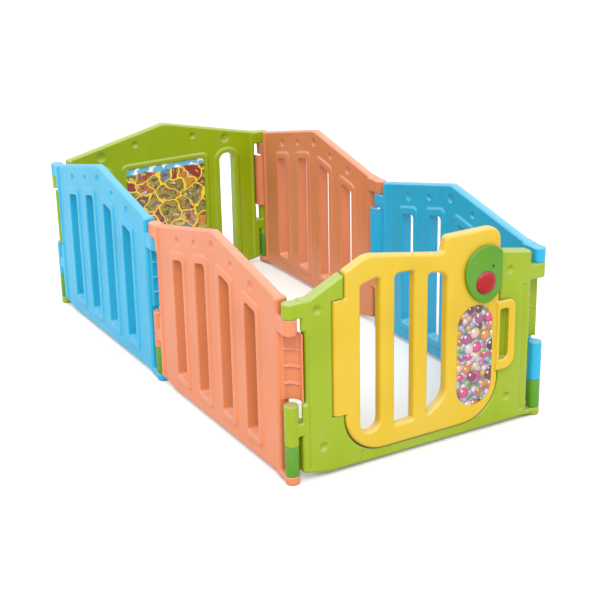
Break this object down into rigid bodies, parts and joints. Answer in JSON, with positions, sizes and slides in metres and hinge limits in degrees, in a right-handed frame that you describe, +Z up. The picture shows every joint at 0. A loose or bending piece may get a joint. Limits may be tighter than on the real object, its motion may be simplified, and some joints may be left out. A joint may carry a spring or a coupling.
{
  "type": "playpen",
  "caption": "Rectangular folding playpen of coloured blow-moulded gabled panels pinned at their corners, with a swinging gate that carries a press-button sound module, and a printed play board.",
  "frame": {"origin": "on the floor at the centre of the pen's outer box", "axes": "+Z up; -Y faces out through the gate, +Y points to the picture panel; +X to the right seen from outside the gate"},
  "size_m": [0.843, 1.665, 0.603],
  "materials": {
    "lime_plastic": "semi-gloss blow-moulded polyethylene, lime green",
    "orange_plastic": "semi-gloss blow-moulded polyethylene, salmon orange",
    "blue_plastic": "semi-gloss blow-moulded polyethylene, sky blue",
    "yellow_plastic": "semi-gloss blow-moulded polyethylene, yellow",
    "green_plastic": "semi-gloss moulded plastic, mid green",
    "white_plastic": "moulded plastic hinge pin, natural white",
    "red_plastic": "glossy red button cap",
    "black_plastic": "black moulded plastic",
    "lens_plastic": "dark translucent indicator lens",
    "circuit_green": "circuit board with green solder resist",
    "steel": "bright steel",
    "board_print": null,
    "sticker_print": null
  },
  "bodies": {
    "gate": {"gate_frame": "lime_plastic", "front_right_upper_pin": "white_plastic", "front_right_joint_lock": "green_plastic"},
    "left_near": {"left_near_panel": "orange_plastic", "front_left_upper_pin": "white_plastic", "front_left_joint_lock": "green_plastic"},
    "left_far": {"left_far_panel": "blue_plastic", "middle_left_upper_pin": "white_plastic", "middle_left_joint_lock": "green_plastic"},
    "picture": {"picture_panel": "lime_plastic", "rear_left_upper_pin": "white_plastic", "rear_left_joint_lock": "green_plastic", "picture_board": "board_print"},
    "right_far": {"right_far_panel": "orange_plastic", "rear_right_upper_pin": "white_plastic", "rear_right_joint_lock": "green_plastic"},
    "right_near": {"right_near_panel": "blue_plastic", "middle_right_upper_pin": "white_plastic", "middle_right_joint_lock": "green_plastic"},
    "door": {"gate_door": "yellow_plastic", "upper_door_pin": "steel", "lower_door_pin": "steel", "door_sticker": "sticker_print", "sound_housing": "green_plastic", "battery_cover": "green_plastic", "circuit_board": "circuit_green", "speaker": "black_plastic", "button_cell_1": "steel", "button_cell_2": "steel", "button_cell_3": "steel", "indicator_lens": "lens_plastic", "cover_screw": "steel", "button_spring": "steel"},
    "button": {"red_button": "red_plastic"}
  },
  "joints": [
    {"name": "rear_left_fold", "type": "hinge", "parent": "picture", "child": "left_far", "pos_m": [-0.4, 0.812, 0.25], "axis": [0, 0, -1], "range_deg": [-10, 45]},
    {"name": "middle_left_fold", "type": "hinge", "parent": "left_far", "child": "left_near", "pos_m": [-0.4, 0.012, 0.25], "axis": [0, 0, 1], "range_deg": [-20, 90]},
    {"name": "front_left_fold", "type": "hinge", "parent": "left_near", "child": "gate", "pos_m": [-0.4, -0.788, 0.25], "axis": [0, 0, -1], "range_deg": [-10, 45]},
    {"name": "rear_right_fold", "type": "hinge", "parent": "picture", "child": "right_far", "pos_m": [0.4, 0.812, 0.25], "axis": [0, 0, 1], "range_deg": [-10, 45]},
    {"name": "middle_right_fold", "type": "hinge", "parent": "right_far", "child": "right_near", "pos_m": [0.4, 0.012, 0.25], "axis": [0, 0, -1], "range_deg": [-20, 90]},
    {"name": "gate_door_swing", "type": "hinge", "parent": "gate", "child": "door", "pos_m": [-0.2664, -0.7946, 0.33], "axis": [0, 0, -1], "range_deg": [0, 100]},
    {"name": "red_button_press", "type": "slide", "parent": "door", "child": "button", "axis": [0, 1, 0], "range_m": [0, 0.003], "stiffness_N_per_m": 300, "deforming": ["button_spring"]}
  ],
  "couplings": [
    {"joint": "middle_left_fold", "follows": "rear_left_fold", "ratio": 2},
    {"joint": "front_left_fold", "follows": "rear_left_fold", "ratio": 1},
    {"joint": "rear_right_fold", "follows": "rear_left_fold", "ratio": 1},
    {"joint": "middle_right_fold", "follows": "rear_left_fold", "ratio": 2}
  ]
}
